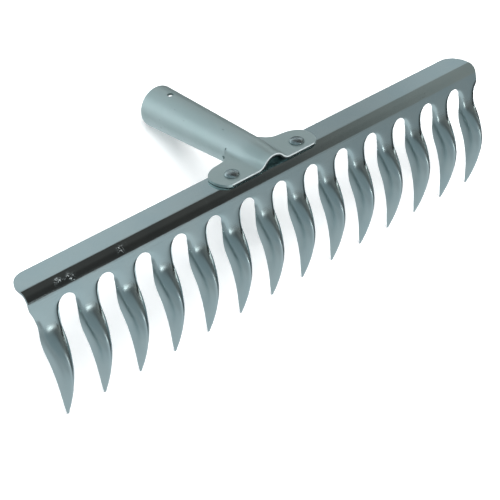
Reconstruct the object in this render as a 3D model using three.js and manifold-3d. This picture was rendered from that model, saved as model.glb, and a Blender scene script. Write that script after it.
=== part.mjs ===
// Pressed steel garden rake head: a toothed blade folded from one sheet, a
// rolled handle socket with two ears, and two rivets that hold them together.
// Built in the blade's own frame (millimetres): X along the bar, the toothed
// web's front face on y = 0, the tops of the tine gaps on z = 0, the flange
// running back towards +Y. The finished head is then laid down on its tine
// tips and the socket's rear rim, on z = 0.
import * as THREE from 'three';
import { mergeVertices } from 'three/addons/utils/BufferGeometryUtils.js';
import Module from 'manifold-3d';

const wasm = await Module();
wasm.setup();

// ---- driving dimensions --------------------------------------------------
const TEETH = 14;
const PITCH = 27;                 // tine spacing
const HALF_W = 185.75;            // half the overall width
const T = 1.8;                    // sheet thickness
const GAP = 0.3;                  // clearance between touching pieces

const DECK_TILT = 12;             // flange rises towards its back edge, degrees
const DECK_DEPTH = 15.8;          // flange's back edge behind the fold
const BEND_R = 6.83;              // outer radius of the fold
const BEND_Z = 4.42;              // height at which the fold meets the web
const CORNER = [11.5, 13];        // flange's rounded back corners, along and across
const WEB_BOTTOM = -0.5;          // flat web stops just below the gap tops
const GAP_R = 5.8;                // rounded top of each tine gap
const CROWN_C = 0.28;             // roundness of the tine's front ridge, of its half width
const CORNER_WEIGHT = 4;          // how closely the facets gather at its corners

// tine table: height, front ridge, half width, place of the side walls' back
// edge, share of the crown in the front, half width of the front, softness of
// the corner between the front and the wall
const TINE = [
  [0, 0, 10.2, 0, 0, 9.4, 1], [-2, 0, 9.35, 0.15, 0, 8.2, 1.1],
  [-4, 0, 8.55, 0.6, 0, 7.1, 1.2], [-8, 0, 7.72, 1.85, 0.02, 5.95, 1.3],
  [-12, 0, 7.6, 2.5, 0.04, 5.75, 1.3], [-14, -0.03, 7.6, 2.9, 0.06, 5.8, 1.25],
  [-16, -0.22, 7.62, 3.35, 0.1, 5.95, 1.2], [-18, -0.85, 7.66, 3.75, 0.16, 6.2, 1.15],
  [-20, -1.95, 7.68, 4.15, 0.21, 6.45, 1.1], [-24, -4.25, 7.62, 4.65, 0.27, 6.75, 1.1],
  [-28, -5.95, 7.38, 4.75, 0.28, 6.6, 1.2], [-32, -7.05, 6.98, 4.5, 0.28, 6.2, 1.3],
  [-36, -7.62, 6.5, 4.25, 0.29, 5.8, 1.45], [-40, -7.67, 6.05, 4.1, 0.32, 5.38, 1.55],
  [-44, -7, 5.68, 4.25, 0.36, 5.02, 1.6], [-48, -5.8, 5.25, 4.65, 0.42, 4.62, 1.6],
  [-52, -4.1, 4.88, 5.1, 0.5, 4.25, 1.55], [-56, -2.1, 4.48, 5.9, 0.6, 3.85, 1.45],
  [-60, 0, 4, 6.8, 0.7, 3.3, 1.3], [-64, 2.4, 3.44, 8.1, 0.8, 2.4, 1.1],
  [-68, 5, 2.78, 9.6, 0.85, 1.2, 0.9], [-72, 7.8, 2.09, 11.1, 0.9, 0.5, 0.7],
  [-78.6, 12.9, 0.85, 13.3, 0.95, 0, 0.4],
];
const TINE_LEVELS = [-0.41, -2, -4.2, -6.5, -10.5, -14.5, -18, -22.5, -28.5, -35.5,
  -42.5, -49.5, -56.5, -63.5, -71, -78.6];
const TINE_SEG = 8;               // facets round the channel section

// deck frame: x as above, s back along the flange from the fold's upper edge,
// h square off the flange's upper face
const EAR_TOP = GAP + T;
const EAR_FRONT = -4;             // ears' front edge
const EAR_HALF = [[0, EAR_FRONT], [33, EAR_FRONT], [35.5, -3.3], [37.6, -1.7], [39.4, 1],
  [40.6, 4.6], [40.9, 8], [40.6, 11.5], [39.3, 14], [37, 16.4], [33.8, 18.4], [30, 19.6],
  [26, 20.1], [22, 20.7], [19.3, 22], [17, 24], [15.2, 26.4], [13.4, 28.3], [12, 29.3], [0, 29.3]];
const SOCKET_TILT = -1.16;        // socket axis against the flange, degrees
const AXIS_S = 30, AXIS_H = -1.48; // a point of that axis
const SOCKET_S = [25, 114.6];     // tube's front and rear ends
const SOCKET_R = [11.97, 14.79];  // outer radii at those ends
const EAR_FILLET = 2.6;           // where the arch flows out into the ears
const SEAM = 0.8;                 // open butt seam under the tube
const NAIL_R = 2.2;               // handle screw hole
const NAIL_BACK = 15.6;           // its place on the socket's top, from the rear rim
const RELIEF_R = 1.8;             // relief notch under each ear's root
const RELIEF_S = 31, RELIEF_H = -4;
const ARCH_IN = 0.95, ARCH_DOWN = 0.8, ARCH_FILLET = 4.4; // the arch pressed in at its front

const RIVET_X = 27.2, RIVET_S = 5.2;
const SHANK_R = 2.7, HOLE_R = 3.0;
const HEAD_R = 4.9, HEAD_H = 1.7;
const TAIL_R = 4.3, TAIL_H = 1.5;

// ---- helpers ---------------------------------------------------------------
function solid(geometry) {
  let g = geometry.clone();
  g.deleteAttribute('normal');
  g.deleteAttribute('uv');
  g = mergeVertices(g, 1e-5);
  const make = (tri) => new wasm.Manifold(new wasm.Mesh({
    numProp: 3,
    vertProperties: new Float32Array(g.attributes.position.array),
    triVerts: tri,
  }));
  const tri = new Uint32Array(g.index.array);
  let m = make(tri);
  if (m.volume() < 0) {
    for (let i = 0; i < tri.length; i += 3) {
      const k = tri[i]; tri[i] = tri[i + 1]; tri[i + 1] = k;
    }
    m = make(tri);
  }
  return m;
}

function toGeometry(m) {
  const out = m.getMesh();
  const g = new THREE.BufferGeometry();
  const n = out.vertProperties.length / out.numProp;
  const pos = new Float32Array(n * 3);
  for (let i = 0; i < n; i++) {
    for (let k = 0; k < 3; k++) pos[3 * i + k] = out.vertProperties[i * out.numProp + k];
  }
  g.setAttribute('position', new THREE.BufferAttribute(pos, 3));
  g.setIndex(new THREE.BufferAttribute(new Uint32Array(out.triVerts), 1));
  g.computeVertexNormals();
  return g;
}

function box(x0, x1, y0, y1, z0, z1) {
  const g = new THREE.BoxGeometry(x1 - x0, y1 - y0, z1 - z0);
  g.translate((x0 + x1) / 2, (y0 + y1) / 2, (z0 + z1) / 2);
  return solid(g);
}

// monotone cubic through a table of [z, value...] rows
function table(rows, col) {
  const xs = rows.map((r) => r[0]).reverse();
  const ys = rows.map((r) => r[col]).reverse();
  const n = xs.length;
  const h = [], d = [], m = new Array(n).fill(0);
  for (let i = 0; i < n - 1; i++) { h.push(xs[i + 1] - xs[i]); d.push((ys[i + 1] - ys[i]) / h[i]); }
  for (let i = 1; i < n - 1; i++) {
    if (d[i - 1] * d[i] > 0) {
      const w1 = 2 * h[i] + h[i - 1], w2 = h[i] + 2 * h[i - 1];
      m[i] = (w1 + w2) / (w1 / d[i - 1] + w2 / d[i]);
    }
  }
  m[0] = d[0]; m[n - 1] = 0;
  return (x) => {
    const q = Math.min(Math.max(x, xs[0]), xs[n - 1]);
    let i = 0;
    while (i < n - 2 && q > xs[i + 1]) i++;
    const t = (q - xs[i]) / h[i], t2 = t * t, t3 = t2 * t;
    return (2 * t3 - 3 * t2 + 1) * ys[i] + (t3 - 2 * t2 + t) * h[i] * m[i]
      + (-2 * t3 + 3 * t2) * ys[i + 1] + (t3 - t2) * h[i] * m[i + 1];
  };
}

// closed loft through rings of equal length, with strip caps for a ring made
// of an outer run followed by an inner run in the opposite direction
function loft(rings) {
  const n = rings[0].length, half = n / 2;
  const pos = [], idx = [];
  rings.forEach((r) => r.forEach((p) => pos.push(p[0], p[1], p[2])));
  for (let i = 0; i < rings.length - 1; i++) {
    for (let j = 0; j < n; j++) {
      const a = i * n + j, b = i * n + ((j + 1) % n), c = a + n, d = b + n;
      idx.push(a, b, d, a, d, c);
    }
  }
  const cap = (base, flip) => {
    for (let j = 0; j < half - 1; j++) {
      const a = base + j, b = base + j + 1, c = base + n - 2 - j, d = base + n - 1 - j;
      const t = [[a, c, b], [a, d, c]];
      t.forEach((q) => idx.push(...(flip ? [q[0], q[2], q[1]] : q)));
    }
  };
  cap(0, false);
  cap((rings.length - 1) * n, true);
  const g = new THREE.BufferGeometry();
  g.setAttribute('position', new THREE.BufferAttribute(new Float32Array(pos), 3));
  g.setIndex(idx);
  return solid(g);
}

// ---- blade -----------------------------------------------------------------
const [ridgeAt, widthAt, backAt, crownAt, frontAt, softAt] = [1, 2, 3, 4, 5, 6].map((c) => table(TINE, c));

function halfWidth(z) {
  if (z > -GAP_R) {
    const arch = PITCH / 2 - Math.sqrt(Math.max(0, GAP_R ** 2 - (GAP_R + z) ** 2));
    return Math.max(arch, Math.min(widthAt(z), PITCH / 2 - GAP_R + 0.1));
  }
  return widthAt(z);
}

// the channel section: an outer run of a crowned front and two side walls, its
// facets gathered at the corners, and the inner run a sheet thickness inside it
function section(cx, z, a, depth, ridge, t) {
  const fine = 240, soft = softAt(z), b = Math.max(0, Math.min(frontAt(z), a - 0.55));
  const q = crownAt(z), c = CROWN_C * a;
  const bend = (u) => (u + Math.sqrt(u * u + soft * soft)) / 2;
  const wall = (x) => bend(x - b) + bend(-x - b) - 2 * bend(-b);
  const crown = (x) => Math.sqrt(x * x + c * c) - c;
  const rise = (x) => depth * ((q * crown(x)) / crown(a) + ((1 - q) * wall(x)) / wall(a));
  const xs = [0], ys = [0], len = [0];
  let last = null, rim = 0;
  for (let i = 1; i <= fine; i++) {
    xs.push((a * i) / fine);
    ys.push(rise(xs[i]));
    const dx = xs[i] - xs[i - 1], dy = ys[i] - ys[i - 1];
    rim = Math.atan2(dy, dx);
    len.push(len[i - 1] + Math.hypot(dx, dy) + CORNER_WEIGHT * Math.abs(rim - (last ?? rim)));
    last = rim;
  }
  const ai = a - t * Math.sin(rim), di = Math.max(0, depth - t * (1 - Math.cos(rim)));
  const half = [];
  let k = 0;
  for (let j = 1; j <= TINE_SEG / 2; j++) {
    const want = (len[fine] * j) / (TINE_SEG / 2);
    while (k < fine - 1 && len[k + 1] < want) k++;
    const w = Math.min(1, (want - len[k]) / (len[k + 1] - len[k]));
    half.push([xs[k] + w * (xs[k + 1] - xs[k]), ys[k] + w * (ys[k + 1] - ys[k])]);
  }
  const run = [...half.map((p) => [-p[0], p[1]]).reverse(), [0, 0], ...half];
  const outer = run.map((p) => [cx + p[0], ridge + p[1], z]);
  const inner = run.map((p) => [cx + (p[0] * ai) / a, ridge + t + (depth > 1e-6 ? (p[1] * di) / depth : 0), z]);
  return [...outer, ...inner.reverse()];
}

function tine(cx) {
  const rings = [section(cx, 2.5, halfWidth(TINE_LEVELS[0]) - 0.2, 0, 0.03, T - 0.06)];
  for (const z of TINE_LEVELS) {
    const tip = Math.max(0, (-60 - z) / 18.6), top = z > -1;
    const ridge = top ? -0.03 : ridgeAt(z);
    rings.push(section(cx, z, halfWidth(z), Math.max(0, backAt(z) - ridge), ridge, T * (1 - 0.3 * tip) + (top ? 0.03 : 0)));
  }
  return loft(rings);
}

// deck frame's place: its origin is the fold's upper tangent line
const tau = THREE.MathUtils.degToRad(DECK_TILT);
const DECK_Y = BEND_R * (1 - Math.sin(tau)), DECK_Z = BEND_Z + BEND_R * Math.cos(tau);
const onDeck = (g) => g.rotateX(tau).translate(0, DECK_Y, DECK_Z);

function bar() {
  const s = new THREE.Shape();
  const N = 12;
  const back = (h) => [DECK_Y + DECK_DEPTH * Math.cos(tau) - h * Math.sin(tau), DECK_Z + DECK_DEPTH * Math.sin(tau) + h * Math.cos(tau)];
  const arc = (i, r) => {
    const q = Math.PI / 2 + tau + (Math.PI / 2 - tau) * (i / N);
    return [BEND_R + r * Math.cos(q), BEND_Z + r * Math.sin(q)];
  };
  s.moveTo(...back(0));
  for (let i = 0; i <= N; i++) s.lineTo(...arc(i, BEND_R));
  s.lineTo(0, WEB_BOTTOM);
  s.lineTo(T, WEB_BOTTOM);
  for (let i = N; i >= 0; i--) s.lineTo(...arc(i, BEND_R - T));
  s.lineTo(...back(-T));
  s.closePath();
  const g = new THREE.ExtrudeGeometry(s, { depth: 2 * HALF_W, bevelEnabled: false, curveSegments: 1 });
  g.translate(0, 0, -HALF_W);
  g.applyMatrix4(new THREE.Matrix4().makeBasis(
    new THREE.Vector3(0, 1, 0), new THREE.Vector3(0, 0, 1), new THREE.Vector3(1, 0, 0)));
  return solid(g);
}

function cornerCutter(side) {
  const s = new THREE.Shape();
  const [a, b] = CORNER, cx = HALF_W - a, cy = DECK_DEPTH - b;
  s.moveTo(HALF_W + 2, DECK_DEPTH + 2);
  s.lineTo(cx, DECK_DEPTH + 2);
  for (let i = 0; i <= 12; i++) {
    const q = Math.PI / 2 - (Math.PI / 2) * (i / 12);
    s.lineTo(cx + a * Math.cos(q), cy + b * Math.sin(q));
  }
  s.lineTo(HALF_W + 2, cy);
  s.closePath();
  const g = new THREE.ExtrudeGeometry(s, { depth: 10, bevelEnabled: false });
  g.translate(0, 0, -6);
  if (side < 0) g.scale(-1, 1, 1);
  return solid(onDeck(g));
}

function roundBar(x, z0, z1, r, seg) {
  const g = new THREE.CylinderGeometry(r, r, z1 - z0, seg);
  g.rotateX(Math.PI / 2);
  g.translate(x, RIVET_S, (z0 + z1) / 2);
  return g;
}

function buildBlade() {
  let m = bar();
  for (const side of [-1, 1]) m = m.subtract(cornerCutter(side));
  for (let i = 0; i < TEETH; i++) m = m.add(tine((i - (TEETH - 1) / 2) * PITCH));
  m = m.intersect(box(-HALF_W, HALF_W, -40, 60, -120, 40));
  for (const side of [-1, 1]) {
    m = m.subtract(solid(onDeck(roundBar(side * RIVET_X, -T - 2, 2, HOLE_R, 32))));
  }
  return m;
}

// ---- socket, in the deck frame ----------------------------------------------
const tilt = THREE.MathUtils.degToRad(SOCKET_TILT);
const axisH = (s) => AXIS_H + (s - AXIS_S) * Math.tan(tilt);
const tubeR = (s) => SOCKET_R[0] + ((SOCKET_R[1] - SOCKET_R[0]) * (s - SOCKET_S[0])) / (SOCKET_S[1] - SOCKET_S[0]);

// half of the sheet's upper outline across X: arch, fillet, flat ear
const ARC_SEG = 9, FIL_SEG = 3, EAR_SEG = 2, EAR_END = 46;
function sectionHalf(s) {
  const t = Math.min(1, Math.max(0, (20 - s) / 24)), press = t * t * (3 - 2 * t);
  const r = tubeR(s) - 0.04 - ARCH_IN * press, hc = axisH(s) - ARCH_DOWN * press;
  const f = EAR_FILLET + ARCH_FILLET * press;
  const dz = EAR_TOP + f - hc;
  const xf = Math.sqrt((r + f) ** 2 - dz * dz);
  const q0 = Math.asin(dz / (r + f));
  const pts = [];
  for (let i = 0; i <= ARC_SEG; i++) {
    const q = Math.PI / 2 + (q0 - Math.PI / 2) * (i / ARC_SEG);
    pts.push([r * Math.cos(q), hc + r * Math.sin(q)]);
  }
  for (let i = 1; i <= FIL_SEG; i++) {
    const q = Math.PI + q0 + (Math.PI / 2 - q0) * (i / FIL_SEG);
    pts.push([xf + f * Math.cos(q), EAR_TOP + f + f * Math.sin(q)]);
  }
  for (let i = 1; i <= EAR_SEG; i++) pts.push([xf + ((EAR_END - xf) * i) / EAR_SEG, EAR_TOP]);
  return pts;
}
function saddle() {
  const rings = [];
  for (const s of [EAR_FRONT - 2, 0, 5, 10, 15, 20, 25, 32]) {
    const half = sectionHalf(s);
    const run = [...half.slice(1).reverse().map((p) => [-p[0], p[1]]), ...half];
    const outer = run.map((p) => [p[0], s, p[1]]);
    const inner = run.map((p, i) => {
      const a = run[Math.max(0, i - 1)], c = run[Math.min(run.length - 1, i + 1)];
      const dx = c[0] - a[0], dz = c[1] - a[1], l = Math.hypot(dx, dz);
      return [p[0] + (dz / l) * T, s, p[1] - (dx / l) * T];
    }).reverse();
    rings.push([...outer, ...inner]);
  }
  return loft(rings);
}
function earOutline() {
  const s = new THREE.Shape();
  s.moveTo(EAR_HALF[0][0], EAR_HALF[0][1]);
  EAR_HALF.slice(1).forEach((p) => s.lineTo(p[0], p[1]));
  EAR_HALF.slice(1, -1).reverse().forEach((p) => s.lineTo(-p[0], p[1]));
  s.closePath();
  const g = new THREE.ExtrudeGeometry(s, { depth: 40, bevelEnabled: false });
  g.translate(0, 0, -5);
  return solid(g);
}
function tube() {
  const c = Math.cos(tilt), s0 = (18 - AXIS_S) / c, s1 = (SOCKET_S[1] - AXIS_S) / c;
  const r0 = tubeR(18), r1 = tubeR(SOCKET_S[1]);
  const g = new THREE.LatheGeometry([
    new THREE.Vector2(r0 - T, s0), new THREE.Vector2(r0, s0),
    new THREE.Vector2(r1, s1), new THREE.Vector2(r1 - T, s1), new THREE.Vector2(r0 - T, s0),
  ], 56);
  g.rotateX(tilt);
  g.translate(0, AXIS_S, AXIS_H);
  return solid(g);
}
function buildSocket() {
  let m = tube().subtract(box(-40, 40, -20, SOCKET_S[0], -40, 60));
  m = m.add(saddle().intersect(earOutline()));
  // butt seam along the underside
  m = m.subtract(box(-SEAM / 2, SEAM / 2, 20, 140, -30, -8));
  for (const side of [-1, 1]) {
    const g = new THREE.CylinderGeometry(RELIEF_R, RELIEF_R, 6, 16);
    g.rotateZ(Math.PI / 2);
    g.translate(side * 12.2, RELIEF_S, RELIEF_H);
    m = m.subtract(solid(g));
    m = m.subtract(solid(roundBar(side * RIVET_X, EAR_TOP - T - 2, EAR_TOP + 2, HOLE_R, 32)));
  }
  // handle screw hole
  const g = new THREE.CylinderGeometry(NAIL_R, NAIL_R, 14, 24);
  g.rotateX(Math.PI / 2);
  g.translate(0, (SOCKET_S[1] - AXIS_S) / Math.cos(tilt) - NAIL_BACK, 14);
  g.rotateX(tilt);
  g.translate(0, AXIS_S, AXIS_H);
  m = m.subtract(solid(g));
  return m;
}

// ---- rivet -----------------------------------------------------------------
function buildRivet(x) {
  const z0 = EAR_TOP + GAP, z1 = -T - GAP;
  const p = [new THREE.Vector2(0, z1 - TAIL_H)];
  for (let i = 1; i <= 5; i++) {
    const q = (Math.PI / 2) * (i / 5);
    p.push(new THREE.Vector2(TAIL_R * Math.sin(q), z1 - 0.35 - (TAIL_H - 0.35) * Math.cos(q)));
  }
  p.push(new THREE.Vector2(TAIL_R, z1), new THREE.Vector2(SHANK_R, z1), new THREE.Vector2(SHANK_R, z0), new THREE.Vector2(HEAD_R, z0));
  for (let i = 0; i <= 6; i++) {
    const q = (Math.PI / 2) * (i / 6);
    p.push(new THREE.Vector2(i === 6 ? 0 : HEAD_R * Math.cos(q), z0 + 0.3 + (HEAD_H - 0.3) * Math.sin(q)));
  }
  const g = new THREE.LatheGeometry(p, 32);
  g.rotateX(Math.PI / 2);
  g.translate(x, RIVET_S, 0);
  return solid(g);
}

// ---- assembly --------------------------------------------------------------
const parts = {
  blade: buildBlade(),
  socket: buildSocket(),
  rivet_left: buildRivet(-RIVET_X),
  rivet_right: buildRivet(RIVET_X),
};
const looks = {
  blade: { color: 0x9fb0b6, roughness: 0.28, metalness: 0.75 },
  socket: { color: 0x9dacad, roughness: 0.42, metalness: 0.65 },
  rivet_left: { color: 0x8f9b9d, roughness: 0.4, metalness: 0.75 },
  rivet_right: { color: 0x8f9b9d, roughness: 0.4, metalness: 0.75 },
};
const geometries = Object.fromEntries(Object.entries(parts).map(([k, m]) => [k, toGeometry(m)]));
for (const k of ['socket', 'rivet_left', 'rivet_right']) onDeck(geometries[k]);

// lay the head on its tine tips and the socket's rear rim
function lowest(g, a) {
  const p = g.attributes.position, s = Math.sin(a), c = Math.cos(a);
  let low = Infinity;
  for (let i = 0; i < p.count; i++) low = Math.min(low, p.getY(i) * s + p.getZ(i) * c);
  return low;
}
let lo = -Math.PI / 3, hi = 0;
for (let i = 0; i < 60; i++) {
  const mid = (lo + hi) / 2;
  if (lowest(geometries.blade, mid) < lowest(geometries.socket, mid)) hi = mid; else lo = mid;
}
const REST = (lo + hi) / 2;
const bounds = new THREE.Box3();
for (const g of Object.values(geometries)) {
  g.rotateX(REST);
  g.computeBoundingBox();
  bounds.union(g.boundingBox);
}
const group = new THREE.Group();
group.name = 'rake_head';
for (const [name, g] of Object.entries(geometries)) {
  g.translate(-(bounds.min.x + bounds.max.x) / 2, -(bounds.min.y + bounds.max.y) / 2, -bounds.min.z);
  const mesh = new THREE.Mesh(g, new THREE.MeshStandardMaterial(looks[name]));
  mesh.name = name;
  group.add(mesh);
}

export default group;
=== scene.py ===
"""Garden rake head: a pressed steel blade with fourteen channel teeth, and a rolled
steel handle socket whose two ears are riveted to the blade's flange.

The visual pieces are built in the part's own frames (gauge frame for the blade, deck
frame for the socket and the rivets) and placed with the transform that lays the head on
its tooth tips and the socket's rear rim.
"""
import math
import bpy
import bmesh
import numpy as np
from mathutils import Matrix, Vector


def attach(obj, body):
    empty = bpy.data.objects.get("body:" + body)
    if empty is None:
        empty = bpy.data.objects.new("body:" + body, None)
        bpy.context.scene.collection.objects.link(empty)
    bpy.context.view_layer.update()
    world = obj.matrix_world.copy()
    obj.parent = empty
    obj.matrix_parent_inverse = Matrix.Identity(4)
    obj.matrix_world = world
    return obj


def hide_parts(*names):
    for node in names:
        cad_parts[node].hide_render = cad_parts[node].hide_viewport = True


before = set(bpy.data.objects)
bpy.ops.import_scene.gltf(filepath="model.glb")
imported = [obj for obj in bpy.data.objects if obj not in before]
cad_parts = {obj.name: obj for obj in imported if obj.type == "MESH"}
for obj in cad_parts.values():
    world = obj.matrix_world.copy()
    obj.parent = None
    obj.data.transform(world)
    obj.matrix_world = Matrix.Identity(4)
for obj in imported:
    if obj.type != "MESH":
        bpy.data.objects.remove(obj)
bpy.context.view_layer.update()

MM = 0.001
sin, cos, rad = math.sin, math.cos, math.radians

# ---- sizes, in mm ------------------------------------------------------------
TEETH, PITCH, HALF_W, T, GAP = 14, 27.0, 185.75, 1.8, 0.3
TAU = rad(12)                      # flange's rise towards its back edge
DECK_DEPTH, BEND_R, BEND_Z = 15.8, 6.83, 4.42
CORNER = (11.5, 13.0)
GAP_R = 5.8
DY, DZ = BEND_R * (1 - sin(TAU)), BEND_Z + BEND_R * cos(TAU)

# height, front ridge, half width, place of the side walls' back edge, share of the crown
# in the front, half width of the front, softness of the corner between front and wall
TINE = [
    (0, 0, 10.2, 0, 0, 9.4, 1), (-2, 0, 9.35, 0.15, 0, 8.2, 1.1),
    (-4, 0, 8.55, 0.6, 0, 7.1, 1.2), (-8, 0, 7.72, 1.85, 0.02, 5.95, 1.3),
    (-12, 0, 7.6, 2.5, 0.04, 5.75, 1.3), (-14, -0.03, 7.6, 2.9, 0.06, 5.8, 1.25),
    (-16, -0.22, 7.62, 3.35, 0.1, 5.95, 1.2), (-18, -0.85, 7.66, 3.75, 0.16, 6.2, 1.15),
    (-20, -1.95, 7.68, 4.15, 0.21, 6.45, 1.1), (-24, -4.25, 7.62, 4.65, 0.27, 6.75, 1.1),
    (-28, -5.95, 7.38, 4.75, 0.28, 6.6, 1.2), (-32, -7.05, 6.98, 4.5, 0.28, 6.2, 1.3),
    (-36, -7.62, 6.5, 4.25, 0.29, 5.8, 1.45), (-40, -7.67, 6.05, 4.1, 0.32, 5.38, 1.55),
    (-44, -7, 5.68, 4.25, 0.36, 5.02, 1.6), (-48, -5.8, 5.25, 4.65, 0.42, 4.62, 1.6),
    (-52, -4.1, 4.88, 5.1, 0.5, 4.25, 1.55), (-56, -2.1, 4.48, 5.9, 0.6, 3.85, 1.45),
    (-60, 0, 4, 6.8, 0.7, 3.3, 1.3), (-64, 2.4, 3.44, 8.1, 0.8, 2.4, 1.1),
    (-68, 5, 2.78, 9.6, 0.85, 1.2, 0.9), (-72, 7.8, 2.09, 11.1, 0.9, 0.5, 0.7),
    (-78.6, 12.9, 0.85, 13.3, 0.95, 0, 0.4),
]
EAR_TOP = GAP + T
EAR_OUT = [(33, -4), (35.5, -3.3), (37.6, -1.7), (39.4, 1), (40.6, 4.6), (40.9, 8), (40.6, 11.5),
           (39.3, 14), (37, 16.4), (33.8, 18.4), (30, 19.6), (26, 20.1), (22, 20.7), (19.3, 22),
           (17, 24), (15.2, 26.4), (13.4, 28.3), (12, 29.3)]
AXIS_S, AXIS_H, TILT = 30.0, -1.48, rad(-1.16)
SOCKET_S, SOCKET_R = (25.0, 114.6), (11.97, 14.79)
NAIL_R, NAIL_BACK = 2.2, 15.6
RELIEF_R, RELIEF_S, RELIEF_H = 1.8, 31.0, -4.0
ARCH_IN, ARCH_DOWN, ARCH_FILLET = 0.95, 0.8, 4.4   # the arch pressed in at its front
RIVET_X, RIVET_S = 27.2, 5.2
SHANK_R, HOLE_R = 2.7, 3.0
HEAD_R, HEAD_H, TAIL_R, TAIL_H = 4.9, 1.7, 4.3, 1.5


def table(rows, col):
    """Monotone cubic through a table, read at a height."""
    xs = np.array([r[0] for r in rows][::-1], float)
    ys = np.array([r[col] for r in rows][::-1], float)
    h, n = np.diff(xs), len(xs)
    d = np.diff(ys) / h
    m = np.zeros(n)
    for i in range(1, n - 1):
        if d[i - 1] * d[i] > 0:
            w1, w2 = 2 * h[i] + h[i - 1], h[i] + 2 * h[i - 1]
            m[i] = (w1 + w2) / (w1 / d[i - 1] + w2 / d[i])
    m[0] = d[0]

    def at(x):
        q = min(max(x, xs[0]), xs[-1])
        i = int(min(max(np.searchsorted(xs, q, side="right") - 1, 0), n - 2))
        t = (q - xs[i]) / h[i]
        return ((2 * t ** 3 - 3 * t ** 2 + 1) * ys[i] + (t ** 3 - 2 * t ** 2 + t) * h[i] * m[i]
                + (-2 * t ** 3 + 3 * t ** 2) * ys[i + 1] + (t ** 3 - t ** 2) * h[i] * m[i + 1])
    return at


def smooth(t):
    t = min(max(t, 0.0), 1.0)
    return t * t * (3 - 2 * t)


# ---- where the gauge frame lies in the row frame --------------------------------
def rest_pose():
    """The angle and offset that lay the head down, read off the CAD blade."""
    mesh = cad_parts["blade"].data
    best = {}
    for p in mesh.polygons:
        n = p.normal
        if abs(n.x) < 1e-3 and n.y > 0 and n.z > 0:
            k = round(math.degrees(math.atan2(n.y, n.z)) * 4)
            best.setdefault(k, []).append((p.area, math.atan2(n.y, n.z)))
    near = max(best.values(), key=lambda v: sum(a for a, _ in v))
    angle = sum(a * q for a, q in near) / sum(a for a, _ in near)
    rest = -(angle + TAU)
    v = np.array([q.co[:] for q in mesh.vertices]) / MM
    y = v[:, 1] * cos(-rest) - v[:, 2] * sin(-rest)
    z = v[:, 1] * sin(-rest) + v[:, 2] * cos(-rest)
    off_y = DY + DECK_DEPTH * cos(TAU) + T * sin(TAU) - y.max()
    off_z = DZ + DECK_DEPTH * sin(TAU) - z.max()
    return rest, off_y, off_z


REST, OFF_Y, OFF_Z = rest_pose()
GAUGE = Matrix.Rotation(REST, 4, "X") @ Matrix.Translation((0, -OFF_Y * MM, -OFF_Z * MM))
DECK = GAUGE @ Matrix.Translation((0, DY * MM, DZ * MM)) @ Matrix.Rotation(TAU, 4, "X")


# ---- mesh helpers -----------------------------------------------------------------
class Sheet:
    """Collects vertices in mm and faces, and welds them into one mesh in metres."""

    def __init__(self):
        self.v, self.f = [], []

    def add(self, pts):
        base = len(self.v)
        self.v.extend(pts)
        return list(range(base, base + len(pts)))

    def quads(self, a, b, flip=False):
        for j in range(len(a) - 1):
            q = [a[j], a[j + 1], b[j + 1], b[j]]
            self.f.append(q[::-1] if flip else q)

    def build(self, name, matrix, weld=2e-6):
        mesh = bpy.data.meshes.new(name)
        mesh.from_pydata([(x * MM, y * MM, z * MM) for x, y, z in self.v], [], self.f)
        bm = bmesh.new()
        bm.from_mesh(mesh)
        bmesh.ops.remove_doubles(bm, verts=bm.verts, dist=weld)
        bmesh.ops.dissolve_degenerate(bm, edges=bm.edges, dist=1e-7)
        bmesh.ops.recalc_face_normals(bm, faces=bm.faces)
        bm.to_mesh(mesh)
        bm.free()
        for p in mesh.polygons:
            p.use_smooth = True
        mesh.transform(matrix)
        obj = bpy.data.objects.new(name, mesh)
        bpy.context.scene.collection.objects.link(obj)
        return obj


def cutter(name, radius, depth, place, segments=48):
    """A round punch along its own Z, used once by a boolean and then removed."""
    bm = bmesh.new()
    bmesh.ops.create_cone(bm, cap_ends=True, segments=segments, radius1=radius * MM,
                          radius2=radius * MM, depth=depth * MM)
    mesh = bpy.data.meshes.new(name)
    bm.to_mesh(mesh)
    bm.free()
    obj = bpy.data.objects.new(name, mesh)
    bpy.context.scene.collection.objects.link(obj)
    obj.matrix_world = place
    return obj


def bake(obj):
    """Turns the object's modifiers into its mesh."""
    bpy.context.view_layer.update()
    dg = bpy.context.evaluated_depsgraph_get()
    mesh = bpy.data.meshes.new_from_object(obj.evaluated_get(dg))
    obj.modifiers.clear()
    obj.data = mesh


def punch(obj, cutters):
    for c in cutters:
        m = obj.modifiers.new("punch", "BOOLEAN")
        m.operation, m.object, m.solver = "DIFFERENCE", c, "EXACT"
    bake(obj)
    for c in cutters:
        bpy.data.objects.remove(c)


def ease_edges(obj, width, angle=38, segments=2):
    m = obj.modifiers.new("edges", "BEVEL")
    m.width, m.segments, m.limit_method = width * MM, segments, "ANGLE"
    m.angle_limit, m.harden_normals = rad(angle), True
    m.use_clamp_overlap, m.miter_outer = True, "MITER_SHARP"
    bake(obj)


def at(x, y, z):
    return Matrix.Translation((x * MM, y * MM, z * MM))


# ---- blade -------------------------------------------------------------------------
ridge_at, width_at, back_at, crown_at, front_at, soft_at = (table(TINE, c) for c in range(1, 7))


def half_width(z):
    if z > -GAP_R:
        arch = PITCH / 2 - math.sqrt(max(0.0, GAP_R ** 2 - (GAP_R + z) ** 2))
        return max(arch, min(width_at(z), PITCH / 2 - GAP_R + 0.1))
    return width_at(z)


END_SIDE = table([(0.0, HALF_W - (TEETH - 1) / 2 * PITCH), (-3.0, 9.75), (-8.0, 8.35),
                  (-13.0, 7.6), (-18.0, 7.48)], 1)


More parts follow.
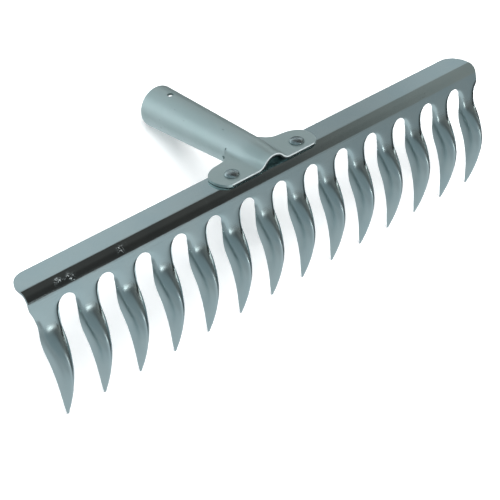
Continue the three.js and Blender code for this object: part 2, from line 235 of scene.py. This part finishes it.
def channel(z, a, count):
    """Half of the tooth's section: count + 1 places from its middle to its edge, and the
    same on the inner face."""
    ridge, soft = ridge_at(z), soft_at(z)
    d = max(0.0, back_at(z) - ridge)
    t = T * (1 - 0.3 * max(0.0, (-60 - z) / 18.6))
    b, q, c = max(0.0, min(front_at(z), a - 0.55)), crown_at(z), 0.28 * a
    x = np.linspace(0, a, 241)

    def bend(u):
        return (u + np.sqrt(u * u + soft * soft)) / 2

    wall = bend(x - b) + bend(-x - b) - 2 * bend(-b)
    crown = np.sqrt(x * x + c * c) - c
    y = ridge + d * (q * crown / crown[-1] + (1 - q) * wall / wall[-1])
    turn = np.arctan2(np.diff(y), np.diff(x))
    step = np.hypot(np.diff(x), np.diff(y)) + 4.0 * np.abs(np.diff(turn, prepend=turn[0]))
    length = np.r_[0, np.cumsum(step)]
    want = np.linspace(0, length[-1], count + 1)
    xs, ys = np.interp(want, length, x), np.interp(want, length, y)
    rim = math.atan2(y[-1] - y[-2], x[-1] - x[-2])
    ai, di = a - t * sin(rim), max(0.0, d - t * (1 - cos(rim)))
    return xs, ys, xs * ai / a, ridge + t + (ys - ridge) * (di / d if d > 1e-6 else 1.0)


def blade():
    side_cols = 15
    rows = []
    a, b = CORNER
    for q in np.radians([90, 84, 77, 69, 60, 50, 39, 26, 13, 0]):
        rows.append(("flange", DECK_DEPTH - b + b * sin(q), HALF_W - a * (1 - cos(q))))
    rows.append(("flange", 1.4, HALF_W))
    rows += [("fold", q, HALF_W) for q in np.radians(np.linspace(102, 180, 15))]
    rows += [("web", z, HALF_W) for z in (3.0, 1.5, 0.0)]
    crown = len(rows) - 1
    rows += [("tooth", -GAP_R * (1 - cos(q)), HALF_W) for q in np.radians([9, 18, 28, 39, 51, 64, 77, 90])]
    zs = list(np.linspace(-GAP_R, -34, 25)[1:]) + list(np.linspace(-34, -78.6, 21)[1:])
    rows += [("tooth", z, HALF_W) for z in zs]

    sheet = Sheet()
    for i in range(TEETH):
        cx = (i - (TEETH - 1) / 2) * PITCH
        left, right = i == 0, i == TEETH - 1
        outer, inner = [], []
        for kind, q, x_end in rows:
            z = q if kind in ("web", "tooth") else 0.0
            hw = {}
            for s, end in ((-1, left), (1, right)):
                if kind == "tooth":
                    hw[s] = END_SIDE(z) if end and z > -18 else half_width(z)
                else:
                    hw[s] = HALF_W - abs(cx) if end else PITCH / 2
            po, pi = [], []
            if kind == "tooth":
                for s in (-1, 1):
                    xo, yo, xi, yi = channel(z, hw[s], side_cols)
                    order = range(side_cols, 0, -1) if s < 0 else range(side_cols + 1)
                    po += [(cx + s * xo[j], yo[j], z) for j in order]
                    pi += [(cx + s * xi[j], yi[j], z) for j in order]
            else:
                for j in range(-side_cols, side_cols + 1):
                    x = cx + hw[1 if j > 0 else -1] * j / side_cols
                    if kind == "flange":
                        if left or right:
                            side = 1 if right else -1
                            x0 = side * (abs(cx) - PITCH / 2)
                            x = x0 + (x - x0) * (x_end * side - x0) / (HALF_W * side - x0)
                        po.append((x, DY + q * cos(TAU), DZ + q * sin(TAU)))
                        pi.append((x, DY + q * cos(TAU) + T * sin(TAU), DZ + q * sin(TAU) - T * cos(TAU)))
                    elif kind == "fold":
                        po.append((x, BEND_R + BEND_R * cos(q), BEND_Z + BEND_R * sin(q)))
                        pi.append((x, BEND_R + (BEND_R - T) * cos(q), BEND_Z + (BEND_R - T) * sin(q)))
                    else:
                        po.append((x, 0.0, z))
                        pi.append((x, T, z))
            outer.append(sheet.add(po))
            inner.append(sheet.add(pi))
        for r in range(len(rows) - 1):
            sheet.quads(outer[r], outer[r + 1])
            sheet.quads(inner[r], inner[r + 1], True)
            for c, end in ((0, left), (-1, right)):
                if end or r >= crown:
                    q = [outer[r][c], outer[r + 1][c], inner[r + 1][c], inner[r][c]]
                    sheet.f.append(q)
        sheet.quads(outer[0], inner[0])
        sheet.quads(outer[-1], inner[-1])
    obj = sheet.build("steel_blade", GAUGE)
    punch(obj, [cutter("rivet_hole", HOLE_R, 8, DECK @ at(s * RIVET_X, RIVET_S, -1)) for s in (-1, 1)])
    ease_edges(obj, 0.32, 40)
    return obj


# ---- socket, in the deck frame --------------------------------------------------------
def pressed(s):
    return smooth((20 - s) / 24)


def axis_h(s):
    return AXIS_H + (s - AXIS_S) * math.tan(TILT) - ARCH_DOWN * pressed(s)


def tube_r(s):
    straight = SOCKET_R[0] + (SOCKET_R[1] - SOCKET_R[0]) * (s - SOCKET_S[0]) / (SOCKET_S[1] - SOCKET_S[0])
    return straight - ARCH_IN * pressed(s)


def fillet(s):
    return 2.6 + ARCH_FILLET * pressed(s)


def lean(s, height):
    """The tube's rings stand square to its own axis, the ears' lines square to the flange."""
    return s - height * math.tan(TILT) * smooth((s - 34) / 20)


def junction(s):
    r, f = tube_r(s), fillet(s)
    dz = EAR_TOP + f - axis_h(s)
    return math.asin(dz / (r + f)), math.sqrt((r + f) ** 2 - dz ** 2)


def spline(points, step):
    """Centripetal curve through points, resampled every step mm."""
    p = np.array(points, float)
    p = np.vstack([2 * p[0] - p[1], p, 2 * p[-1] - p[-2]])
    out = []
    for i in range(1, len(p) - 2):
        for t in np.linspace(0, 1, 24, endpoint=False):
            a, b, c, d = p[i - 1], p[i], p[i + 1], p[i + 2]
            out.append(0.5 * (2 * b + (c - a) * t + (2 * a - 5 * b + 4 * c - d) * t ** 2
                              + (3 * b - a - 3 * c + d) * t ** 3))
    out.append(p[-2])
    out = np.array(out)
    length = np.r_[0, np.cumsum(np.hypot(*np.diff(out, axis=0).T))]
    want = np.linspace(0, length[-1], int(length[-1] / step) + 1)
    return np.c_[np.interp(want, length, out[:, 0]), np.interp(want, length, out[:, 1])]


def socket():
    outline = spline(EAR_OUT, 1.25)
    ear_rows = [(float(s), float(x)) for x, s in outline]
    ear_rows[0] = (-4.0, 33.0)
    last = ear_rows[-1][0]
    tube_rows = [30.4] + list(np.linspace(30.4, 36, 5)[1:]) + list(np.linspace(36, SOCKET_S[1] - 0.04, 34)[1:])
    rows = [s for s, _ in ear_rows] + tube_rows
    sheet = Sheet()

    def ring(s, angles):
        r, hc = tube_r(s), axis_h(s)
        return [(r * cos(q), lean(s, r * sin(q)), hc + r * sin(q)) for q in angles]

    top = []
    for s in rows:
        q0, _ = junction(s)
        top.append(sheet.add(ring(s, np.linspace(q0, math.pi - q0, 37))))
    for a, b in zip(top, top[1:]):
        sheet.quads(a, b)
    ts = [t ** 1.5 for t in np.linspace(0, 1, 19)]
    for side in (1, -1):
        ears = []
        for s, x_out in ear_rows:
            q0, xf = junction(s)
            r, f, xj = tube_r(s), fillet(s), tube_r(s) * cos(q0)
            line = []
            for k, t in enumerate(ts):
                x = xj + (x_out - xj) * t
                h = EAR_TOP if x >= xf else EAR_TOP + f - math.sqrt(max(0.0, f * f - (xf - x) ** 2))
                if k == 0:
                    h = axis_h(s) + r * sin(q0)
                line.append((side * x, lean(s, r * sin(q0)), h))
            ears.append(sheet.add(line))
        for a, b in zip(ears, ears[1:]):
            sheet.quads(a, b, side > 0)
        under = []
        for s in tube_rows:
            q0, _ = junction(s)
            gap = math.asin(0.4 / tube_r(s))
            qs = np.linspace(q0, -math.pi / 2 + gap, 33)
            if side < 0:
                qs = math.pi - qs
            under.append(sheet.add(ring(s, qs)))
        for a, b in zip(under, under[1:]):
            sheet.quads(a, b, side > 0)
    obj = sheet.build("steel_socket", DECK)
    up = DECK.to_3x3() @ Vector((0, 0, 1))
    crown = [p for p in obj.data.polygons if (DECK.inverted() @ p.center).z > 5 * MM]
    if sum(p.normal.dot(up) * p.area for p in crown) < 0:
        obj.data.flip_normals()
    m = obj.modifiers.new("wall", "SOLIDIFY")
    m.thickness, m.offset, m.use_even_offset, m.use_rim = T * MM, -1, True, True
    bake(obj)
    along = (SOCKET_S[1] - AXIS_S) / cos(TILT) - NAIL_BACK
    axis = at(0, AXIS_S, AXIS_H) @ Matrix.Rotation(TILT, 4, "X")
    cuts = [cutter("screw_hole", NAIL_R, 12, DECK @ axis @ at(0, along, 14) @ Matrix.Rotation(rad(2), 4, "Z"))]
    for side in (-1, 1):
        cuts.append(cutter("relief", RELIEF_R, 6, DECK @ at(side * 12.2, RELIEF_S, RELIEF_H)
                           @ Matrix.Rotation(rad(90), 4, "Y"), 32))
        cuts.append(cutter("ear_hole", HOLE_R, 8, DECK @ at(side * RIVET_X, RIVET_S, EAR_TOP - 1)))
    punch(obj, cuts)
    ease_edges(obj, 0.3, 40)
    return obj


# ---- rivets ---------------------------------------------------------------------------
def rivet(name, x, seed):
    z0, z1 = EAR_TOP + GAP, -T - GAP
    p = [(0.0, z1 - TAIL_H)]
    for q in np.radians(np.linspace(0, 90, 12)[1:]):
        p.append((TAIL_R * sin(q), z1 - 0.35 - (TAIL_H - 0.35) * cos(q)))
    p += [(TAIL_R, z1 - 0.1), (TAIL_R - 0.12, z1), (SHANK_R, z1), (SHANK_R, z0), (HEAD_R - 0.15, z0),
          (HEAD_R, z0 + 0.12)]
    for q in np.radians(np.linspace(0, 90, 22)):
        # a flattened dome with a soft shoulder
        p.append((HEAD_R * cos(q) ** 0.8, z0 + 0.25 + (HEAD_H - 0.25) * sin(q) ** 0.85))
    p[-1] = (0.0, z0 + HEAD_H)
    seg = 72
    sheet = Sheet()
    loops = []
    for r, z in p:
        line = []
        for k in range(seg):
            a = 2 * math.pi * k / seg
            on = 1 if z > z0 + 0.2 else 0
            # the set leaves the head slightly out of round and dinted
            g = 1 + on * 0.012 * sin(2 * a + seed) * (r > 1)
            dz = on * (0.07 * sin(2 * a + seed) + 0.05 * sin(5 * a + 2 * seed)) * (r / HEAD_R) ** 2 * (r < 4.6)
            line.append((x + r * g * cos(a), RIVET_S + r * g * sin(a), min(z + dz, z0 + HEAD_H)))
        loops.append(sheet.add(line))
    for a, b in zip(loops, loops[1:]):
        sheet.quads(a + [a[0]], b + [b[0]])
    obj = sheet.build(name, DECK)
    m = obj.modifiers.new("edges", "BEVEL")
    m.width, m.segments, m.limit_method, m.angle_limit = 0.1 * MM, 2, "ANGLE", rad(60)
    m.harden_normals = True
    bake(obj)
    return obj


# ---- materials -------------------------------------------------------------------------
class Nodes:
    def __init__(self, tree):
        self.t = tree

    def new(self, kind, **props):
        n = self.t.nodes.new(kind)
        for k, v in props.items():
            setattr(n, k, v)
        return n

    def put(self, value, socket):
        if hasattr(value, "is_output") or isinstance(value, bpy.types.NodeSocket):
            self.t.links.new(value, socket)
        elif value is not None:
            socket.default_value = value

    def math(self, op, a, b=None, c=None, clamp=False):
        n = self.new("ShaderNodeMath", operation=op, use_clamp=clamp)
        for v, s in zip((a, b, c), n.inputs):
            self.put(v, s)
        return n.outputs[0]

    def ramp(self, x, lo, hi, a=0.0, b=1.0, soft=True):
        n = self.new("ShaderNodeMapRange", interpolation_type="SMOOTHSTEP" if soft else "LINEAR")
        for v, s in zip((x, lo, hi, a, b), n.inputs):
            self.put(v, s)
        return n.outputs[0]

    def mix(self, t, a, b):
        n = self.new("ShaderNodeMix", data_type="RGBA")
        self.put(t, n.inputs[0])
        for v, s in ((a, n.inputs[6]), (b, n.inputs[7])):
            self.put((*v, 1.0) if isinstance(v, tuple) and len(v) == 3 else v, s)
        return n.outputs[2]

    def noise(self, coord, scale, detail=3.0, rough=0.5, distort=0.0):
        n = self.new("ShaderNodeTexNoise")
        self.put(coord, n.inputs["Vector"])
        n.inputs["Scale"].default_value = scale
        n.inputs["Detail"].default_value = detail
        n.inputs["Roughness"].default_value = rough
        n.inputs["Distortion"].default_value = distort
        return n.outputs["Fac"]

    def stretch(self, coord, scale, turn=(0, 0, 0)):
        n = self.new("ShaderNodeMapping")
        self.put(coord, n.inputs["Vector"])
        n.inputs["Scale"].default_value = scale
        n.inputs["Rotation"].default_value = turn
        return n.outputs[0]


def material(name, place):
    """A shader whose coordinates are the piece's own frame, in metres."""
    m = bpy.data.materials.new(name)
    m.use_nodes = True
    m.node_tree.nodes.clear()
    k = Nodes(m.node_tree)
    out = k.new("ShaderNodeOutputMaterial")
    bsdf = k.new("ShaderNodeBsdfPrincipled")
    k.put(bsdf.outputs[0], out.inputs[0])
    local = k.new("ShaderNodeMapping")
    k.put(k.new("ShaderNodeTexCoord").outputs["Object"], local.inputs["Vector"])
    back = place.inverted()
    local.inputs["Location"].default_value = back.to_translation()
    local.inputs["Rotation"].default_value = back.to_euler()
    return m, k, bsdf, local.outputs[0]


def blade_steel():
    m, k, bsdf, co = material("blade_steel", GAUGE)
    xyz = k.new("ShaderNodeSeparateXYZ")
    k.put(co, xyz.inputs[0])
    x, y, z = xyz.outputs
    cloud = k.noise(co, 34, 4, 0.55)
    fine = k.noise(co, 420, 2, 0.5)
    grain = k.noise(k.stretch(co, (14, 160, 160)), 7, 3, 0.6)
    tone = k.mix(k.ramp(cloud, 0.3, 0.7), (0.425, 0.535, 0.545), (0.475, 0.575, 0.575))
    # scuffs where the press tool dragged over the fold
    on_fold = k.math("MULTIPLY", k.ramp(z, 0.0045, 0.0065), k.ramp(z, 0.0108, 0.0092))
    swirl = k.noise(k.stretch(co, (1.0, 2.1, 2.1)), 230, 3, 0.55, 1.6)
    thin = k.math("MULTIPLY", k.ramp(swirl, 0.484, 0.496), k.ramp(swirl, 0.516, 0.504))
    where = None
    for cx, w, gain in ((-0.164, 0.0145, 0.9), (-0.1185, 0.006, 0.7), (-0.0705, 0.004, 0.6),
                        (-0.050, 0.006, 0.7), (0.058, 0.004, 0.3), (0.132, 0.004, 0.3)):
        near = k.math("MULTIPLY", k.ramp(k.math("ABSOLUTE", k.math("SUBTRACT", x, cx)), w, w * 0.35), gain)
        where = near if where is None else k.math("MAXIMUM", where, near)
    patch = k.ramp(k.noise(co, 95, 2, 0.5), 0.5, 0.62)
    scuff = k.math("MULTIPLY", k.math("MULTIPLY", thin, on_fold), k.math("MULTIPLY", where, patch), clamp=True)
    base = k.mix(scuff, tone, (0.85, 0.9, 0.9))
    k.put(base, bsdf.inputs["Base Color"])
    k.put(k.ramp(scuff, 0.0, 1.0, 1.0, 0.25), bsdf.inputs["Metallic"])
    # drawn metal on the teeth is duller than the rolled fold
    dull = k.ramp(z, -0.0095, -0.0165, 0.0, 1.0)
    share = k.math("ADD", k.math("DIVIDE", x, PITCH * MM), 0.5)
    local = k.math("SUBTRACT", share, k.math("ROUND", share))
    dull = k.math("MULTIPLY", dull, k.ramp(local, 0.075, 0.135, 1.0, 0.15))
    r = k.math("ADD", k.math("MULTIPLY", dull, 0.25), k.ramp(cloud, 0.3, 0.7, 0.09, 0.12))
    r = k.math("ADD", r, k.math("MULTIPLY", scuff, 0.3))
    k.put(r, bsdf.inputs["Roughness"])
    bump = k.new("ShaderNodeBump")
    bump.inputs["Strength"].default_value = 0.06
    bump.inputs["Distance"].default_value = 0.0006
    h = k.math("ADD", k.math("MULTIPLY", grain, 0.6), k.math("MULTIPLY", fine, 0.12))
    h = k.math("ADD", h, k.math("MULTIPLY", scuff, 1.5))
    k.put(h, bump.inputs["Height"])
    k.put(bump.outputs[0], bsdf.inputs["Normal"])
    return m


def socket_steel():
    m, k, bsdf, co = material("socket_steel", DECK)
    cloud = k.noise(co, 40, 4, 0.6)
    grain = k.noise(k.stretch(co, (90, 9, 90)), 6, 3, 0.6)
    fine = k.noise(co, 600, 3, 0.6)
    spots = k.ramp(k.noise(k.stretch(co, (1, 0.6, 1)), 310, 2, 0.5), 0.70, 0.76)
    tone = k.mix(k.ramp(cloud, 0.3, 0.7), (0.47, 0.59, 0.58), (0.52, 0.63, 0.625))
    tone = k.mix(k.math("MULTIPLY", spots, 0.35), tone, (0.16, 0.2, 0.2))
    # the sheared front edge: a painted highlight above, bright and less metallic, and a painted shadow below, dark
    xyz = k.new("ShaderNodeSeparateXYZ")
    k.put(co, xyz.inputs[0])
    x, s, h = xyz.outputs
    across = k.math("ABSOLUTE", x)
    q0, xf = junction(-4.0)
    r, f, hc = tube_r(-4.0) * MM, fillet(-4.0) * MM, axis_h(-4.0) * MM

    def reach(px, ph):
        a, b = k.math("SUBTRACT", across, px), k.math("SUBTRACT", h, ph)
        return k.math("SQRT", k.math("ADD", k.math("MULTIPLY", a, a), k.math("MULTIPLY", b, b)))

    depth = k.math("SUBTRACT", EAR_TOP * MM, h)
    root = k.math("SUBTRACT", reach(xf * MM, EAR_TOP * MM + f), f)
    depth = k.ramp(k.math("LESS_THAN", across, xf * MM), 0.0, 1.0, depth, root, soft=False)
    over = k.math("SUBTRACT", r, reach(0.0, hc))
    depth = k.ramp(k.math("LESS_THAN", across, r * cos(q0)), 0.0, 1.0, depth, over, soft=False)
    edge = k.ramp(s, -0.00365, -0.0038)
    # painted highlight on the upper part of the edge face, painted shadow on its lower part
    painted_edge_highlight = k.math("MULTIPLY", edge, k.ramp(depth, 0.0009, 0.0006))
    painted_edge_shadow = k.math("MULTIPLY", edge, k.ramp(depth, 0.0007, 0.0010))
    tone = k.mix(painted_edge_highlight, tone, (0.64, 0.70, 0.70))
    tone = k.mix(painted_edge_shadow, tone, (0.05, 0.06, 0.06))
    k.put(tone, bsdf.inputs["Base Color"])
    k.put(k.ramp(painted_edge_highlight, 0.0, 1.0, 0.85, 0.4), bsdf.inputs["Metallic"])
    k.put(k.ramp(k.math("ADD", cloud, k.math("MULTIPLY", fine, 0.3)), 0.35, 0.95, 0.36, 0.46), bsdf.inputs["Roughness"])
    bump = k.new("ShaderNodeBump")
    bump.inputs["Strength"].default_value = 0.12
    bump.inputs["Distance"].default_value = 0.0005
    k.put(k.math("ADD", k.math("MULTIPLY", fine, 0.35), k.math("MULTIPLY", grain, 0.5)), bump.inputs["Height"])
    k.put(bump.outputs[0], bsdf.inputs["Normal"])
    return m


def rivet_steel():
    m, k, bsdf, co = material("rivet_steel", DECK)
    blotch = k.noise(co, 420, 3, 0.6, 0.5)
    fine = k.noise(co, 1500, 2, 0.5)
    tone = k.mix(k.ramp(blotch, 0.38, 0.62), (0.36, 0.44, 0.45), (0.53, 0.63, 0.63))
    k.put(tone, bsdf.inputs["Base Color"])
    bsdf.inputs["Metallic"].default_value = 1.0
    k.put(k.ramp(blotch, 0.35, 0.65, 0.28, 0.18), bsdf.inputs["Roughness"])
    bump = k.new("ShaderNodeBump")
    bump.inputs["Strength"].default_value = 0.35
    bump.inputs["Distance"].default_value = 0.0003
    k.put(k.math("ADD", blotch, k.math("MULTIPLY", fine, 0.2)), bump.inputs["Height"])
    k.put(bump.outputs[0], bsdf.inputs["Normal"])
    return m


def floor_paint():
    m, k, bsdf, co = material("pale_floor", Matrix.Identity(4))
    k.put(k.mix(k.noise(co, 3, 2, 0.5), (0.90, 0.905, 0.905), (0.92, 0.92, 0.92)), bsdf.inputs["Base Color"])
    bsdf.inputs["Roughness"].default_value = 0.9
    bsdf.inputs["Emission Color"].default_value = (1.0, 1.0, 1.0, 1.0)
    bsdf.inputs["Emission Strength"].default_value = 0.3
    bsdf.inputs["Specular IOR Level"].default_value = 0.1
    return m


# ---- assembly -----------------------------------------------------------------------------
steel, satin, head = blade_steel(), socket_steel(), rivet_steel()
for obj, node, mat, slot in ((blade(), "blade", steel, "blade_steel"), (socket(), "socket", satin, "socket_steel"),
                             (rivet("rivet_head_left", -RIVET_X, 0.7), "rivet_left", head, "rivet_steel"),
                             (rivet("rivet_head_right", RIVET_X, 3.9), "rivet_right", head, "rivet_steel")):
    obj.data.materials.clear()
    obj.data.materials.append(mat)
    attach(obj, "root")
    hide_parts(node)

# ---- floor, light and camera ------------------------------------------------------------------
scene = bpy.context.scene
scene.view_settings.view_transform = "Standard"
scene.view_settings.look = "None"

bm = bmesh.new()
bmesh.ops.create_circle(bm, cap_ends=True, segments=96, radius=3.0)
floor_mesh = bpy.data.meshes.new("floor")
bm.to_mesh(floor_mesh)
bm.free()
floor = bpy.data.objects.new("floor", floor_mesh)
scene.collection.objects.link(floor)
floor.location.z = -0.0002
floor_mesh.materials.append(floor_paint())
floor.visible_glossy = False


def area(name, energy, size, place, aim, gloss=True, color=(1, 1, 1)):
    data = bpy.data.lights.new(name, "AREA")
    data.energy, data.shape, data.size, data.color = energy, "DISK", size, color
    obj = bpy.data.objects.new(name, data)
    scene.collection.objects.link(obj)
    obj.location = place
    obj.rotation_euler = (Vector(aim) - Vector(place)).to_track_quat("-Z", "Y").to_euler()
    obj.visible_glossy = gloss
    return obj


area("overhead", 110, 3.0, (0.0, 0.0, 2.4), (0, 0, 0), gloss=False)
lamp = bpy.data.lights.new("lamp", "POINT")
lamp.energy, lamp.shadow_soft_size = 40.0, 0.05
lamp_obj = bpy.data.objects.new("lamp", lamp)
scene.collection.objects.link(lamp_obj)
lamp_obj.location = Vector((0.22, -0.85, 0.42)).normalized() * 4.0

world = bpy.data.worlds.new("studio")
scene.world = world
world.use_nodes = True
world.node_tree.nodes.clear()
k = Nodes(world.node_tree)
out = k.new("ShaderNodeOutputWorld")
ray = k.new("ShaderNodeTexCoord").outputs["Generated"]
sep = k.new("ShaderNodeSeparateXYZ")
k.put(ray, sep.inputs[0])
dx, dy, dz = sep.outputs
rise = k.math("ARCTAN2", dz, k.math("ABSOLUTE", dy))
rise = k.math("ADD", rise, k.ramp(dy, -0.1, 0.1, 0.0, rad(4.5)))
roof = k.ramp(rise, rad(14.8), rad(20.2))                 # above the light walls
front = k.ramp(dx, 0.36, 0.66, 0.76, 0.37)                # walls, brighter to the left
front = k.ramp(dx, 0.68, 0.82, front, 0.08)
front = k.ramp(dx, -0.10, -0.55, front, 0.50)             # and dim again far left
back = k.ramp(dx, 0.40, 0.60, 0.74, 0.47)
back = k.ramp(dx, 0.61, 0.67, back, 0.63)
back = k.ramp(dx, 0.36, -0.10, back, 0.87)
back = k.ramp(dx, -0.20, -0.62, back, 1.10)
behind = k.ramp(dy, -0.1, 0.1)
wall = k.ramp(behind, 0.0, 1.0, front, back, soft=False)
side = k.math("MAXIMUM", k.math("SUBTRACT", dx, 0.48), 0.0)
ceiling = k.math("ADD", k.math("MULTIPLY", k.math("MULTIPLY", side, side), 9.0),
                 k.ramp(dy, -0.3, 0.3, 0.04, 0.07))       # unlit ceiling, lighter to the right
ceiling = k.ramp(dx, 0.70, 0.82, k.math("MINIMUM", ceiling, 0.36), 0.04)
ceiling = k.ramp(dx, 0.35, 0.19, ceiling, 0.32)           # and to the left
ceiling = k.ramp(dx, -0.30, -0.60, ceiling, 0.36)
level = k.ramp(roof, 0.0, 1.0, wall, ceiling, soft=False)
ground = k.ramp(dz, -0.60, -0.82, 0.40, 0.74)             # pale ground, darker far off
near = k.ramp(dx, -0.55, -0.20, k.ramp(dz, -0.10, -0.55, 0.38, 0.68), 0.76)
ground = k.ramp(k.ramp(dy, -0.22, -0.48), 0.0, 1.0, ground, near, soft=False)
rear = k.math("MULTIPLY", k.ramp(dy, 0.15, 0.45), k.ramp(dx, 0.10, -0.30))
ground = k.ramp(rear, 0.0, 1.0, ground, k.ramp(dz, -0.10, -0.65, 1.05, 0.55), soft=False)
far = k.ramp(dz, -0.42, -0.60, 0.03, 0.85)                # a dark skirting on the right
ground = k.ramp(dx, 0.42, 0.60, ground, far)
level = k.ramp(k.ramp(dz, -0.03, -0.12), 0.0, 1.0, level, ground, soft=False)
round_ = k.math("ARCTAN2", dy, dx)                        # a narrow bright strip at the right
strip = k.math("MULTIPLY", k.ramp(round_, rad(-13.5), rad(-11.5)), k.ramp(round_, rad(-8.5), rad(-10.5)))
strip = k.math("MULTIPLY", strip, k.math("MULTIPLY", k.ramp(dz, -0.66, -0.58), k.ramp(dz, 0.46, 0.38)))
level = k.math("ADD", level, k.math("MULTIPLY", strip, 2.2))
warm = k.mix(k.ramp(dx, 0.50, 0.62), (1.12, 1.0, 0.96), (1.0, 1.0, 0.97))
warm = k.mix(k.ramp(dx, 0.36, 0.22), warm, (0.84, 1.0, 1.08))
tint = k.mix(roof, (0.93, 1.0, 1.05), warm)
lit = k.new("ShaderNodeBackground")
k.put(tint, lit.inputs[0])
k.put(level, lit.inputs[1])
plain = k.new("ShaderNodeBackground")
plain.inputs[0].default_value = (1, 1, 1, 1)
either = k.new("ShaderNodeMixShader")
k.put(k.new("ShaderNodeLightPath").outputs["Is Camera Ray"], either.inputs[0])
k.put(lit.outputs[0], either.inputs[1])
k.put(plain.outputs[0], either.inputs[2])
k.put(either.outputs[0], out.inputs[0])

# camera: found in the gauge frame, with x right, y down and z forward
ROTATION = Vector((1.86249477, -0.807518502, 0.249504274))
SHIFT = Vector((18.3609783, -42.8778680, 815.770166))
FOCAL = 1306.25058                                         # in pixels of a 500-pixel frame
turn = Matrix.Rotation(ROTATION.length, 3, ROTATION.normalized())
eye = -(turn.transposed() @ SHIFT) * MM
axes = turn.transposed() @ Matrix(((1, 0, 0), (0, -1, 0), (0, 0, -1)))
camera = bpy.data.objects.new("camera", bpy.data.cameras.new("camera"))
scene.collection.objects.link(camera)
camera.matrix_world = GAUGE @ Matrix.Translation(eye) @ axes.to_4x4()
camera.data.sensor_width = 36.0
camera.data.lens = FOCAL * 36.0 / 500.0
camera.data.clip_start, camera.data.clip_end = 0.01, 50
scene.camera = camera
